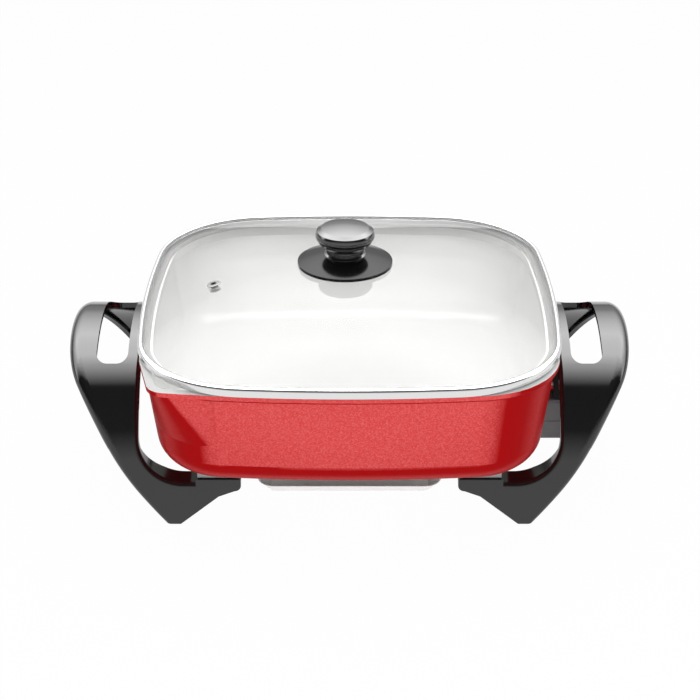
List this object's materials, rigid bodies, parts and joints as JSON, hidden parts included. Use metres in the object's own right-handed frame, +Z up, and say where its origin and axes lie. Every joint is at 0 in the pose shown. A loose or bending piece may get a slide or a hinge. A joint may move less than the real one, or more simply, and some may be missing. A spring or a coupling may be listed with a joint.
{
  "type": "electric hot pot with lid",
  "caption": "Square electric pan with a pouring lip, domed glass lid with a round knob, arched handle-and-leg sides and a plug-in temperature control.",
  "frame": {"origin": "on the table under the middle of the pan, level with the undersides of the foot pads", "axes": "+Z up, +X from handle to handle towards the plug-in control, -Y towards the front, where the pouring lip is at the left corner"},
  "size_m": [0.4558, 0.344, 0.2163],
  "materials": {
    "red_painted_casting": "cast aluminium with a red metallic paint outside and a white coating inside",
    "element_sheath": "dull sheath",
    "plain_steel": "drawn",
    "ceramic": "unglazed",
    "bright_sheet": "bright rolled sheet",
    "screw_steel": "zinc plated",
    "bracket_steel": "plated sheet",
    "black_phenolic": "moulded, slightly glossy",
    "black_rubber": "matt",
    "clear_glass": "clear tempered",
    "polished_steel": "polished stainless",
    "silicone": "translucent silicone",
    "gloss_black": "glossy",
    "satin_collar": "satin",
    "control_black": "fine moulded grain",
    "brass": "rolled",
    "amber_lens": "translucent"
  },
  "bodies": {
    "cooker": {"pan": "red_painted_casting", "heating_element": "element_sheath", "terminal_pins": "plain_steel", "pin_insulators": "ceramic", "heat_shield": "bright_sheet", "heat_shield_screws": "screw_steel", "leg_bracket_front_left": "bracket_steel", "leg_bracket_front_right": "bracket_steel", "leg_bracket_rear_left": "bracket_steel", "leg_bracket_rear_right": "bracket_steel", "bracket_screws": "screw_steel", "handle_left": "black_phenolic", "handle_right": "black_phenolic", "leg_screws": "screw_steel", "leg_nuts": "screw_steel", "foot_pads": "black_rubber", "socket_guard": "black_phenolic", "guard_screws": "screw_steel"},
    "lid": {"lid_glass": "clear_glass", "lid_rim": "polished_steel", "rim_seal": "silicone", "vent_eyelet": "polished_steel", "knob_plate": "gloss_black", "knob_collar": "satin_collar", "knob": "black_phenolic", "knob_screw": "screw_steel", "knob_washer": "screw_steel", "knob_seals": "silicone"},
    "control": {"control_upper_shell": "control_black", "control_lower_shell": "control_black", "shell_screws": "screw_steel", "sensor_rod": "plain_steel", "contact_sleeves": "brass", "switch_base": "ceramic", "switch_blades": "brass", "indicator_lens": "amber_lens", "cord_inlet": "black_rubber"},
    "dial": {"dial": "gloss_black", "dial_spindle": "plain_steel"}
  },
  "joints": [
    {"name": "lid_lift", "type": "slide", "parent": "cooker", "child": "lid", "axis": [0, 0, 1], "range_m": [0, 0.12]},
    {"name": "control_pull", "type": "slide", "parent": "cooker", "child": "control", "axis": [1, 0, 0], "range_m": [0, 0.08]},
    {"name": "dial_turn", "type": "hinge", "parent": "control", "child": "dial", "pos_m": [0.1965, 0, 0.0777], "axis": [0, 0, -1], "range_deg": [0, 270]}
  ]
}
